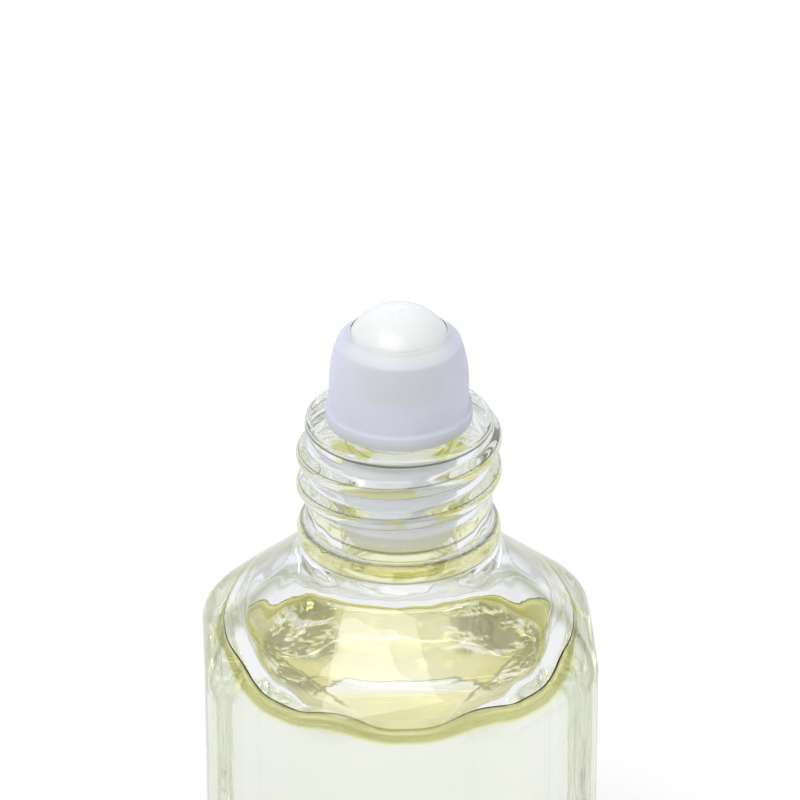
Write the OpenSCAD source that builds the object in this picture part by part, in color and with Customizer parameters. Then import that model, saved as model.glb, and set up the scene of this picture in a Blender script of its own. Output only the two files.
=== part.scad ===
// Roll-on bottle: an eight-sided clear glass bottle with a screw neck, a pressed-in
// roller housing, its rolling ball and the oil inside. Millimetres, base on Z = 0,
// +Z up through the neck, one flat side of the body facing -Y.

/* [Bottle body] */
// Width of the body across two opposite flat sides
body_flats = 28.3; // [26:0.1:34]
// Radius of the eight upright corners
body_corner_r = 4; // [2.5:0.1:5.5]
// Height of the upright wall, from the base to where the shoulder starts
body_wall_h = 29; // [24:0.5:60]
// Radius of the heel between wall and base
heel_r = 1.5; // [0.8:0.1:2]
// Radius that turns the wall over into the shoulder
shoulder_r = 3.8; // [2.5:0.1:5]
// Lean of the shoulder from upright, in degrees
shoulder_slope = 48.8; // [42:0.2:56]
// Radius of the hollow curve between shoulder and neck
neck_fillet_r = 2.9; // [1.5:0.1:3.5]

/* [Glass walls] */
// Thickness of the side wall at a flat
wall_t = 2.95; // [2:0.05:3.3]
// Thickness of the base
base_t = 3; // [2:0.1:5]
// Radius of the upright corners inside
cavity_corner_r = 9; // [5:0.1:9.5]
// Radius between the inner wall and the inner floor
cavity_heel_r = 3; // [2:0.1:4]
// Radius that turns the inner wall over into the inner shoulder
cavity_shoulder_r = 3; // [2:0.1:4]
// Lean of the inner shoulder from upright, in degrees
cavity_slope = 52; // [48:0.5:56]
// How far above the outer shoulder line the inner shoulder starts
cavity_rise = 0.4; // [0:0.1:0.8]
// Radius of the throat where the inner shoulder meets the bore
throat_r = 2; // [1:0.1:2.6]
// Depth of the hollow pressed up into the base
push_up_h = 0.5; // [0.2:0.1:1]
// Radius of that hollow
push_up_r = 9; // [6:0.5:10]

/* [Neck finish] */
// Radius of the neck at the root of the thread
neck_r = 6.7; // [6.2:0.05:7]
// Radius of the round foot under the bead
neck_foot_r = 7.15; // [7.05:0.05:7.6]
// Radius of the bead under the thread
bead_r = 7.3; // [7.2:0.05:8]
// Height of the bead
bead_h = 1.5; // [1:0.1:1.8]
// Height of the rim above the middle of the bead
finish_h = 8.9; // [8.8:0.1:12]
// Radius of the rounded outer edge of the rim
rim_round_r = 0.4; // [0.2:0.05:0.8]
// Radius of the bore that takes the plug
bore_r = 4.1; // [3.9:0.05:4.4]
// Rounding of the bore's mouth
bore_mouth_r = 0.35; // [0.2:0.05:0.5]
// Crest radius of the thread
thread_r = 7.35; // [7.1:0.05:7.6]
// Rise of the thread in one turn
thread_pitch = 2.48; // [2.2:0.02:2.6]
// Turns of the thread
thread_turns = 2; // [1:0.25:2]
// Half the width of the thread at its root
thread_half_w = 0.95; // [0.7:0.05:1.05]
// Height above the middle of the bead at which the thread starts
thread_start_h = 2.95; // [2.6:0.05:3.2]
// How deep the middle of the thread's ridge lies under the neck's surface
thread_sink = 0.15; // [0.1:0.01:0.25]

/* [Roller] */
// Radius of the rolling ball
ball_r = 4; // [3.8:0.05:4.1]
// Running clearance between ball and socket
ball_gap = 0.06; // [0.03:0.01:0.1]
// Height of the ball's centre above the rim
ball_h = 4.8; // [4.7:0.05:5.4]
// Height above the ball's centre at which the lip grips it
lip_grip_h = 1.62; // [1.2:0.02:2]

/* [Roller housing] */
// Radius of the flange that rests on the rim
flange_r = 5.23; // [5.1:0.01:5.8]
// Thickness of the flange
flange_t = 1.1; // [0.8:0.05:1.4]
// Gap under the flange
flange_gap = 0.02; // [0.01:0.01:0.05]
// Outer radius of the cup
cup_r = 4.97; // [4.8:0.01:5.1]
// Outer radius of the lip
lip_r = 4.38; // [4.2:0.02:4.5]
// Height of the straight part of the cup above the rim
cup_straight_h = 2.6; // [1.6:0.1:3]
// Radius that rounds the top of the lip
lip_round_r = 0.28; // [0.15:0.01:0.3]
// Length of the plug below the rim
plug_len = 8.9; // [6:0.1:9.2]
// Radius of the plug between its sealing rings
plug_r = 3.88; // [3.7:0.01:3.9]
// Clearance of the sealing rings in the bore
plug_gap = 0.03; // [0.02:0.01:0.05]
// Radius of the passage up the plug
passage_r = 2.95; // [2.6:0.05:3.1]
// Number of sealing rings
ring_count = 3; // [1:1:3]
// Height of one sealing ring
ring_h = 0.9; // [0.6:0.1:1]
// Thickness of the web under the ball
web_t = 0.9; // [0.6:0.05:1.2]
// Radius of the middle feed hole
feed_r = 0.9; // [0.5:0.05:1]
// Number of small feed holes round it
feed_count = 6; // [3:1:6]
// Radius of a small feed hole
feed_small_r = 0.45; // [0.3:0.05:0.5]
// Radius of the circle that the small feed holes lie on
feed_ring_r = 2; // [1.9:0.05:2.2]

/* [Oil] */
// Depth of the oil's surface below the line where the inner shoulder starts
oil_drop = 1.9; // [1.5:0.1:12]
// How far the oil climbs up the glass
oil_climb = 1.4; // [0.4:0.1:1.5]
// Width of the climbing edge
oil_climb_w = 2.4; // [1:0.1:3]
// Gap that keeps the oil's solid clear of the glass
oil_gap = 0.04; // [0.02:0.01:0.1]

/* [Hidden] */
$fn = 96;

// One overrun for every cut
overrun = 1;
// Step by which a round solid stays inside the flat cap that it passes through
seam = 0.05;
// The body has eight sides
side_count = 8;
side_angle = 360 / side_count;
half_side = side_angle / 2;
// Power by which the cup curves in towards its lip
cup_curve = 2.3;
// Power by which the oil's edge sinks from the glass to its surface
climb_curve = 3.5;
// Share of its half width up to which a ring's corners may be rounded
soft_share = 0.98;
// Steps across a flat, round a corner and along a curve of the profile
flat_steps = 4;
corner_steps = 6;
curve_steps = 6;

// Heights on the outside, from the base up
shoulder_z = body_wall_h;
arc_end_z = shoulder_z + shoulder_r * sin(shoulder_slope);
arc_end_r = body_flats / 2 - shoulder_r * (1 - cos(shoulder_slope));
cone_top_r = neck_foot_r + neck_fillet_r * (1 - cos(shoulder_slope));
cone_top_z = arc_end_z + (arc_end_r - cone_top_r) / tan(shoulder_slope);
foot_z = cone_top_z + neck_fillet_r * sin(shoulder_slope);
bead_z = foot_z + bead_h / 2;
rim_z = bead_z + finish_h;
ball_z = rim_z + ball_h;

// Heights inside the glass
cavity_flats = body_flats - 2 * wall_t;
cavity_z = shoulder_z + cavity_rise;
cavity_arc_z = cavity_z + cavity_shoulder_r * sin(cavity_slope);
cavity_arc_r = cavity_flats / 2 - cavity_shoulder_r * (1 - cos(cavity_slope));
throat_low_r = bore_r + throat_r * (1 - cos(cavity_slope));
throat_low_z = cavity_arc_z + (cavity_arc_r - throat_low_r) / tan(cavity_slope);
throat_z = throat_low_z + throat_r * sin(cavity_slope);
oil_z = cavity_z - oil_drop;

// Rounded octagon: distance from the axis at angle a, with a flat side at angle 0
function octagon_r(a, flats, corner) =
    let (fold = abs(((a + half_side) % side_angle + side_angle) % side_angle - half_side))
    let (centre_r = (flats / 2 - corner) / cos(half_side))
    let (flat_end = atan((flats / 2 - corner) * tan(half_side) / (flats / 2)))
    fold <= flat_end
        ? flats / (2 * cos(fold))
        : centre_r * cos(half_side - fold)
            + sqrt(pow(corner, 2) - pow(centre_r * sin(half_side - fold), 2));

// Angles of a ring: evenly over each flat, then evenly round each corner
function ring_angles(flats, corner) =
    let (flat_end = atan((flats / 2 - corner) * tan(half_side) / (flats / 2)))
    let (turn = side_angle - 2 * flat_end)
    [for (side = [0 : side_count - 1]) each concat(
        [for (i = [0 : flat_steps])
            side * side_angle - flat_end + 2 * flat_end * i / flat_steps],
        [for (i = [1 : corner_steps - 1])
            side * side_angle + flat_end + turn * i / corner_steps]
    )];

// Ring of points at height z, inset from the wall, part octagon and part circle
function ring(angles, flats, corner, inset, z, round_share) =
    let (half = flats / 2 - inset)
    let (soft = min(corner, half * soft_share))
    [for (a = angles)
        let (r = (1 - round_share) * octagon_r(a, 2 * half, soft) + round_share * half)
        [r * cos(a - 90), r * sin(a - 90), z]];

// Closed skin over a stack of rings, lowest first
module loft(rings) {
    n = len(rings[0]);
    last = len(rings) - 1;
    sides = [for (k = [0 : last - 1]) for (i = [0 : n - 1])
        let (j = (i + 1) % n)
        each [
            [k * n + i, (k + 1) * n + i, (k + 1) * n + j],
            [k * n + i, (k + 1) * n + j, k * n + j]
        ]];
    floor_face = [for (i = [0 : n - 1]) i];
    roof_face = [for (i = [n - 1 : -1 : 0]) last * n + i];
    polyhedron(points = [for (r = rings) each r], faces = concat(sides, [floor_face, roof_face]));
}

// Share by which a shoulder ring is round, from 0 at the wall to 1 at the top
function round_share(inset, inset_top) = sqrt(min(1, max(0, inset / inset_top)));

// Rings of a shoulder: an arc off the wall, a cone, and one ring more at its top
function shoulder_rings(angles, flats, corner, z, arc_r, slope, top_r, top_z) =
    let (inset_top = flats / 2 - top_r)
    concat(
        [for (i = [0 : curve_steps])
            let (t = slope * i / curve_steps)
            let (inset = arc_r * (1 - cos(t)))
            ring(angles, flats, corner, inset, z + arc_r * sin(t), round_share(inset, inset_top))],
        [for (i = [1 : 2])
            let (inset_arc = arc_r * (1 - cos(slope)))
            let (arc_z = z + arc_r * sin(slope))
            let (inset = inset_arc + (inset_top - inset_arc) * i / 2)
            ring(angles, flats, corner, inset, arc_z + (top_z - arc_z) * i / 2,
                 round_share(inset, inset_top))]
    );

// Outer skin of the body, from the base to the foot of the neck
module body_skin() {
    angles = ring_angles(body_flats, body_corner_r);
    heel = [for (i = [0 : curve_steps])
        let (t = 90 * i / curve_steps)
        ring(angles, body_flats, body_corner_r, heel_r * (1 - sin(t)), heel_r * (1 - cos(t)), 0)];
    shoulder = shoulder_rings(angles, body_flats, body_corner_r, shoulder_z, shoulder_r,
                              shoulder_slope, cone_top_r, cone_top_z);
    fillet_centre_r = neck_foot_r + neck_fillet_r;
    fillet = [for (i = [1 : curve_steps])
        let (t = shoulder_slope * (1 - i / curve_steps))
        let (r = fillet_centre_r - neck_fillet_r * cos(t))
        ring(angles, body_flats, body_corner_r, body_flats / 2 - r,
             foot_z - neck_fillet_r * sin(t), 1)];
    loft(concat(heel, shoulder, fillet));
}

// The hollow for the oil, up to the cone under the throat
module cavity_skin() {
    angles = ring_angles(cavity_flats, cavity_corner_r);
    floor_rings = [for (i = [0 : curve_steps])
        let (t = 90 * i / curve_steps)
        ring(angles, cavity_flats, cavity_corner_r, cavity_heel_r * (1 - sin(t)),
             base_t + cavity_heel_r * (1 - cos(t)), 0)];
    shoulder = shoulder_rings(angles, cavity_flats, cavity_corner_r, cavity_z, cavity_shoulder_r,
                              cavity_slope, throat_low_r + seam, throat_low_z);
    loft(concat(floor_rings, shoulder));
}

// Neck, bead and rim as one turned shape, sunk into the top of the body
module neck_turning() {
    foot_r = neck_foot_r - seam;
    rim_start_z = rim_z - rim_round_r;
    bead_low = [for (i = [0 : curve_steps])
        let (t = -90 + 90 * i / curve_steps)
        [foot_r + (bead_r - foot_r) * cos(t), bead_z + bead_h / 2 * sin(t)]];
    bead_high = [for (i = [1 : curve_steps])
        let (t = 90 * i / curve_steps)
        [neck_r + (bead_r - neck_r) * cos(t), bead_z + bead_h / 2 * sin(t)]];
    rim = [for (i = [0 : curve_steps])
        let (t = 90 * i / curve_steps)
        [neck_r - rim_round_r * (1 - cos(t)), rim_start_z + rim_round_r * sin(t)]];
    rotate_extrude() polygon(concat(
        [[0, cone_top_z], [foot_r, cone_top_z]], bead_low, bead_high, rim, [[0, rim_z]]
    ));
}

// The bore with its rounded mouth, opening into the hollow through the throat
module bore_turning() {
    throat = [for (i = [0 : curve_steps])
        let (t = cavity_slope * (1 - i / curve_steps))
        [bore_r + throat_r * (1 - cos(t)), throat_z - throat_r * sin(t)]];
    mouth = [for (i = [0 : curve_steps])
        let (t = 90 * i / curve_steps)
        [bore_r + bore_mouth_r * (1 - cos(t)), rim_z - bore_mouth_r * (1 - sin(t))]];
    rotate_extrude() polygon(concat(
        [[0, throat_low_z - overrun], [throat_low_r, throat_low_z - overrun]], throat, mouth,
        [[bore_r + bore_mouth_r, rim_z + overrun], [0, rim_z + overrun]]
    ));
}

// One unbroken right-hand ridge round the neck that runs out at both ends
module neck_thread() {
    steps_per_turn = 24;
    profile_steps = 8;
    fade_turn_share = 0.1;
    end_share = 0.1;
    ridge_centre_r = neck_r - thread_sink;
    ridge_half_h = thread_r - ridge_centre_r;
    steps = ceil(thread_turns * steps_per_turn);
    rings = [for (s = [0 : steps])
        let (turn = thread_turns * s / steps)
        let (a = 90 + 360 * turn)
        let (fade = min(1, end_share + min(turn, thread_turns - turn) / fade_turn_share))
        let (z = bead_z + thread_start_h + thread_pitch * turn)
        [for (p = [0 : profile_steps - 1])
            let (q = 360 * p / profile_steps)
            let (r = ridge_centre_r + fade * ridge_half_h * cos(q))
            [r * cos(a), r * sin(a), z + fade * thread_half_w * sin(q)]]];
    sides = [for (k = [0 : steps - 1]) for (i = [0 : profile_steps - 1])
        let (j = (i + 1) % profile_steps)
        each [
            [k * profile_steps + i, k * profile_steps + j, (k + 1) * profile_steps + j],
            [k * profile_steps + i, (k + 1) * profile_steps + j, (k + 1) * profile_steps + i]
        ]];
    start_face = [for (i = [profile_steps - 1 : -1 : 0]) i];
    end_face = [for (i = [0 : profile_steps - 1]) steps * profile_steps + i];
    polyhedron(points = [for (r = rings) each r], faces = concat(sides, [start_face, end_face]));
}

// Shallow ball-shaped hollow under the base
module push_up() {
    dish_r = (pow(push_up_r, 2) + pow(push_up_h, 2)) / (2 * push_up_h);
    translate([0, 0, push_up_h - dish_r]) sphere(r = dish_r);
}

module glass_bottle() {
    color([0.85, 0.93, 0.9, 0.35]) difference() {
        union() {
            body_skin();
            neck_turning();
            neck_thread();
        }
        cavity_skin();
        bore_turning();
        push_up();
    }
}

// The oil: the hollow's shape up to its surface, with an edge that climbs the glass
module oil_fill() {
    flats = cavity_flats - 2 * oil_gap;
    low = base_t + oil_gap;
    angles = ring_angles(cavity_flats, cavity_corner_r);
    floor_rings = [for (i = [0 : curve_steps])
        let (t = 90 * i / curve_steps)
        ring(angles, flats, cavity_corner_r, cavity_heel_r * (1 - sin(t)),
             low + cavity_heel_r * (1 - cos(t)), 0)];
    edge = [for (i = [0 : curve_steps])
        let (share = i / curve_steps)
        ring(angles, flats, cavity_corner_r, oil_climb_w * share,
             oil_z + oil_climb * pow(1 - share, climb_curve), 0)];
    color([0.9, 0.87, 0.45, 0.8]) loft(concat(floor_rings, edge));
}

// Outline of the housing outside: plug with sealing rings, flange, cup and lip
function plug_outline() =
    let (ring_r = bore_r - plug_gap)
    let (spacing = (plug_len - 2 * ring_h) / ring_count)
    let (lead = plug_r - passage_r)
    concat(
        [[passage_r + lead / 2, rim_z - plug_len], [plug_r, rim_z - plug_len + lead]],
        [for (k = [0 : ring_count - 1])
            let (mid_z = rim_z - plug_len + ring_h + spacing * (k + 1 / 2))
            each [for (i = [0 : curve_steps])
                let (t = 180 * i / curve_steps)
                [plug_r + (ring_r - plug_r) * sin(t), mid_z - ring_h / 2 * cos(t)]]],
        [[plug_r, rim_z + flange_gap]]
    );

function cup_outline() =
    let (low_z = rim_z + flange_gap)
    let (flange_z = rim_z + flange_t)
    let (straight_z = rim_z + cup_straight_h)
    let (lip_z = ball_z + lip_grip_h)
    let (grip_r = sqrt(pow(ball_r + ball_gap, 2) - pow(lip_grip_h, 2)))
    concat(
        [[flange_r, low_z], [flange_r, flange_z - (flange_r - cup_r) / 2],
         [flange_r - (flange_r - cup_r) / 2, flange_z]],
        [[cup_r, flange_z]],
        [for (i = [0 : 2 * curve_steps])
            let (share = i / (2 * curve_steps))
            [cup_r - (cup_r - lip_r) * pow(share, cup_curve), straight_z + (lip_z - straight_z) * share]],
        [for (i = [1 : curve_steps])
            let (t = 90 * i / curve_steps)
            [lip_r - lip_round_r * (1 - cos(t)), lip_z + lip_round_r * sin(t)]],
        [[(grip_r + lip_r) / 2 - lip_round_r / 2, lip_z + lip_round_r], [grip_r, lip_z], [0, lip_z]]
    );

module roller_housing() {
    web_low_z = ball_z - ball_r - ball_gap - web_t;
    color([0.8, 0.81, 0.88, 0.9]) difference() {
        rotate_extrude() polygon(concat(
            [[0, rim_z - plug_len]], plug_outline(), cup_outline()
        ));
        translate([0, 0, ball_z]) sphere(r = ball_r + ball_gap);
        translate([0, 0, rim_z - plug_len - overrun])
            cylinder(r = passage_r, h = web_low_z - rim_z + plug_len + overrun);
        translate([0, 0, web_low_z - overrun]) cylinder(r = feed_r, h = web_t + 2 * overrun);
        for (k = [0 : feed_count - 1])
            rotate([0, 0, 360 * k / feed_count])
                translate([feed_ring_r, 0, web_low_z - overrun])
                    cylinder(r = feed_small_r, h = web_t + ball_r);
    }
}

module roller_ball() {
    color([0.97, 0.97, 0.95]) translate([0, 0, ball_z]) sphere(r = ball_r);
}

glass_bottle();
oil_fill();
roller_housing();
roller_ball();
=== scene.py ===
"""Clear glass roll-on bottle: eight-sided body, screw neck, pressed-in roller and pale oil.

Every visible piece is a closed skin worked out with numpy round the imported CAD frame, and
each finish is built from nodes on Object coordinates. Sizes are in millimetres until a mesh
is made, and BALL_RISE is how far the ball's middle lies over the rim. The flat side that the
photograph faces looks out along -Y.
"""
import logging
import math
from dataclasses import dataclass
from enum import Enum

import bmesh
import bpy
import numpy as np
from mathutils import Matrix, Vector


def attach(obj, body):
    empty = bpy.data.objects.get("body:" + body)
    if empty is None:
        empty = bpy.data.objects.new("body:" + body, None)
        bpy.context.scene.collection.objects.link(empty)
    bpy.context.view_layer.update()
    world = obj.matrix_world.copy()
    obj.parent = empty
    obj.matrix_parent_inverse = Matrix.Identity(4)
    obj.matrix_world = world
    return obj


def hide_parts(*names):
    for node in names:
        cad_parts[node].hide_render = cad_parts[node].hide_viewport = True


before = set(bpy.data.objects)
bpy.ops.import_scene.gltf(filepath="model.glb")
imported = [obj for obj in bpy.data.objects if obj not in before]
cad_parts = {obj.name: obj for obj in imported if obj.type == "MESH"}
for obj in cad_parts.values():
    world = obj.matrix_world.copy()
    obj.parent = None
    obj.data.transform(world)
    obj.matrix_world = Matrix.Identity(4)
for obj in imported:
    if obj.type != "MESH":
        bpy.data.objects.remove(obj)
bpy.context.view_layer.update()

log = logging.getLogger("roll_on_bottle")

MM = 0.001
SIDES = 8
SIDE_ANGLE = 2 * math.pi / SIDES
QUARTER = math.pi / 2
TINY = 1e-6
ROUND_COLUMNS = 192
ROUND_ANGLES = np.linspace(0, 2 * math.pi, ROUND_COLUMNS + 1)[:-1]
MOST_CORNER = 0.98
BALL_RISE = 4.8

Colour = tuple[float, float, float, float]
Span = tuple[float, float]
Triple = tuple[float, float, float]

WHITE: Colour = (1.0, 1.0, 1.0, 1.0)


class Body(Enum):
    """Names of the CAD bodies that the pieces ride on."""

    BOTTLE = "bottle"
    HOUSING = "housing"
    BALL = "ball"


class Slot(Enum):
    """Names of the record's material slots."""

    GLASS = "clear_glass"
    OIL = "pale_oil"
    HOUSING = "housing_plastic"
    BALL = "ball_plastic"


# Surfaces


@dataclass(frozen=True)
class Rows:
    """Rows of a skin: half width, height, share of roundness and corner radius of each ring."""

    half: np.ndarray
    z: np.ndarray
    share: np.ndarray
    corner: np.ndarray

    @staticmethod
    def make(half: np.ndarray, z: np.ndarray, share: float | np.ndarray = 1.0,
             corner: float = 4.0) -> "Rows":
        """Makes rows from arrays or single values.

        Args:
            half: Half width of each ring, across its flat sides.
            z: Height of each ring.
            share: 0 for an octagon, 1 for a circle.
            corner: Corner radius of the octagon.

        Returns:
            The rows, with every field as long as half.
        """
        half = np.atleast_1d(np.asarray(half, dtype=float))
        spread = [np.broadcast_to(np.asarray(v, dtype=float), half.shape) for v in (z, share, corner)]
        return Rows(half, *spread)

    @staticmethod
    def arc(half: float, z: float, radius: float, start: float, end: float, steps: int,
            share: float = 1.0, corner: float = 4.0) -> "Rows":
        """Makes the rows of an arc, half + radius cos(t) and z + radius sin(t).

        Args:
            half: Half width of the arc's middle.
            z: Height of the arc's middle.
            radius: Radius of the arc.
            start: Angle of the first row, 0 outwards and a quarter turn upwards.
            end: Angle of the last row.
            steps: Steps from the first row to the last.
            share: 0 for an octagon, 1 for a circle.
            corner: Corner radius of the octagon.

        Returns:
            The rows.
        """
        t = np.linspace(start, end, steps + 1)
        return Rows.make(half + radius * np.cos(t), z + radius * np.sin(t), share, corner)

    @staticmethod
    def join(*parts: "Rows") -> "Rows":
        """Puts rows after each other and drops a row that repeats the one before it.

        Args:
            *parts: The rows, in order along the profile.

        Returns:
            All of them as one.
        """
        table = np.concatenate([[p.half, p.z, p.share, p.corner] for p in parts], axis=1)
        step = np.abs(np.diff(table[:3], axis=1)).max(axis=0)
        keep = np.concatenate([[True], step > TINY])
        return Rows(*table[:, keep])

    def guarded(self, limit: float = 0.9, step: float = 0.02) -> "Rows":
        """Adds a row close to both ends of every long span.

        The rows between two others lie on the straight line that joins them, so the shape
        stays and only the shading of the long span becomes flat.

        Args:
            limit: Length in mm from which a span counts as long.
            step: Distance in mm of the new rows from the span's ends.

        Returns:
            The rows with the new ones among them.
        """
        table = np.array([self.half, self.z, self.share, self.corner])
        length = np.hypot(np.diff(self.half), np.diff(self.z))
        long_span = np.flatnonzero(length > limit)
        share = step / length[long_span]
        places = np.concatenate([np.arange(len(self.half)), long_span + share, long_span + 1 - share])
        places = np.sort(places)
        index = np.arange(len(self.half))
        return Rows(*[np.interp(places, index, line) for line in table])


def octagon_radius(angle: np.ndarray, half: np.ndarray, corner: np.ndarray) -> np.ndarray:
    """Distance from the axis to a rounded octagon with a flat side at angle 0.

    On a flat it is half / cos(a). Round a corner of radius c, whose centre is d away from the
    axis, it is d cos(b) + sqrt(c^2 - (d sin(b))^2), with b the angle from the corner's middle.

    Args:
        angle: Angles in radians.
        half: Half of the width across the flats.
        corner: Corner radius.

    Returns:
        The radius for each angle and ring.
    """
    half_side = SIDE_ANGLE / 2
    fold = np.abs((angle + half_side) % SIDE_ANGLE - half_side)
    flat_end = np.arctan((half - corner) * math.tan(half_side) / half)
    centre = (half - corner) / math.cos(half_side)
    inside = corner ** 2 - (centre * np.sin(half_side - fold)) ** 2
    rounded = centre * np.cos(half_side - fold) + np.sqrt(np.maximum(inside, 0))
    return np.where(fold <= flat_end, half / np.cos(fold), rounded)


def column_angles(half: float, corner: float, flat_steps: int, corner_steps: int) -> np.ndarray:
    """Angles of the columns: evenly over each flat, then evenly round each corner.

    Args:
        half: Half of the width across the flats.
        corner: Corner radius.
        flat_steps: Steps over one flat.
        corner_steps: Steps round one corner.

    Returns:
        The angles in radians, from the middle of the first flat's near end on.
    """
    flat_end = math.atan((half - corner) * math.tan(SIDE_ANGLE / 2) / half)
    flat = np.linspace(-flat_end, flat_end, flat_steps + 1)
    turn = np.linspace(flat_end, SIDE_ANGLE - flat_end, corner_steps + 1)[1:-1]
    side = np.concatenate([flat, turn])
    return (np.arange(SIDES)[:, None] * SIDE_ANGLE + side[None, :]).ravel()


def ring_points(rows: Rows, angle: np.ndarray, relief: np.ndarray | float = 0.0) -> np.ndarray:
    """Points of a stack of rings, as P(i, j) = (r cos(a), r sin(a), z).

    The radius r is (1 - share) times the octagon's plus share times the circle's, plus relief.
    A ring's corner radius stays within MOST_CORNER times its half width.

    Args:
        rows: The rings.
        angle: Angle of each column from the -Y side, in radians.
        relief: Extra radius for each ring and column.

    Returns:
        Array of ring, column and coordinate, in mm.
    """
    half, share, corner = rows.half[:, None], rows.share[:, None], rows.corner[:, None]
    soft = np.minimum(corner, MOST_CORNER * half)
    r = (1 - share) * octagon_radius(angle[None, :], half, soft) + share * half + relief
    turned = angle[None, :] - math.pi / 2
    z = np.broadcast_to(rows.z[:, None], r.shape)
    return np.stack([r * np.cos(turned), r * np.sin(turned), z], axis=2)


def skin(name: str, points: np.ndarray, low_pole: float | None = None,
         high_pole: float | None = None, closed: bool = False) -> bpy.types.Object:
    """Makes a mesh over a grid of rings, whose columns always close.

    Face (i, j) joins P(i, j), P(i, j+1), P(i+1, j+1) and P(i+1, j). A pole closes the first or
    last ring with a fan to a point on the axis, and closed joins the last ring to the first.

    Args:
        name: Name of the piece.
        points: Array of ring, column and coordinate, in mm.
        low_pole: Height of the point that closes the first ring.
        high_pole: Height of the point that closes the last ring.
        closed: True for a skin like a ring, without poles.

    Returns:
        The new object, at the origin.
    """
    rings, columns, _ = points.shape
    index = np.arange(rings * columns).reshape(rings, columns)
    if closed:
        index = np.vstack([index, index[:1]])
    low, high = index[:-1], index[1:]
    quads = np.stack([low, np.roll(low, -1, 1), np.roll(high, -1, 1), high], axis=2).reshape(-1, 4)
    vertices = points.reshape(-1, 3)
    faces = quads.tolist()
    if low_pole is not None:
        faces += np.stack([np.full(columns, len(vertices)), np.roll(index[0], -1), index[0]], 1).tolist()
        vertices = np.vstack([vertices, [[0, 0, low_pole]]])
    if high_pole is not None:
        faces += np.stack([index[-1], np.roll(index[-1], -1), np.full(columns, len(vertices))], 1).tolist()
        vertices = np.vstack([vertices, [[0, 0, high_pole]]])
    return make_piece(name, vertices, faces)


def make_piece(name: str, vertices: np.ndarray, faces: list[list[int]]) -> bpy.types.Object:
    """Makes a smooth piece.

    Args:
        name: Name of the piece.
        vertices: Its vertices, in mm.
        faces: Its faces, as rows of vertex numbers.

    Returns:
        The new object, at the origin.
    """
    mesh = bpy.data.meshes.new(name)
    mesh.from_pydata((vertices * MM).tolist(), [], faces)
    mesh.polygons.foreach_set("use_smooth", np.ones(len(mesh.polygons), dtype=bool))
    mesh.validate()
    mesh.update()
    piece = bpy.data.objects.new(name, mesh)
    bpy.context.scene.collection.objects.link(piece)
    return piece


def carry(piece: bpy.types.Object, name: str, values: np.ndarray) -> None:
    """Gives every vertex of a piece its own number, which a finish reads by its name."""
    piece.data.attributes.new(name, "FLOAT", "POINT").data.foreach_set("value", values)


def waves(angle: np.ndarray, z: np.ndarray, height: float, seed: float) -> np.ndarray:
    """Slow unevenness of moulded glass, as a sum of sines of angle and height.

    Args:
        angle: Column angles in radians.
        z: Ring heights in mm.
        height: Largest rise in mm.
        seed: Phase that sets one surface apart from another.

    Returns:
        Rise for each ring and column.
    """
    a, h = angle[None, :], z[:, None]
    turns = np.array([3, 5, 7, 11, 13, 17])
    climbs = np.array([1.1, -0.7, 1.9, 1.4, -2.3, 2.9])
    phases = seed + np.array([0.3, 1.7, 2.9, 4.1, 5.3, 0.9])
    total = sum(np.sin(n * a + c * h + p) for n, c, p in zip(turns, climbs, phases))
    return height * total / len(turns)


# Nodes and finishes


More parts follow.
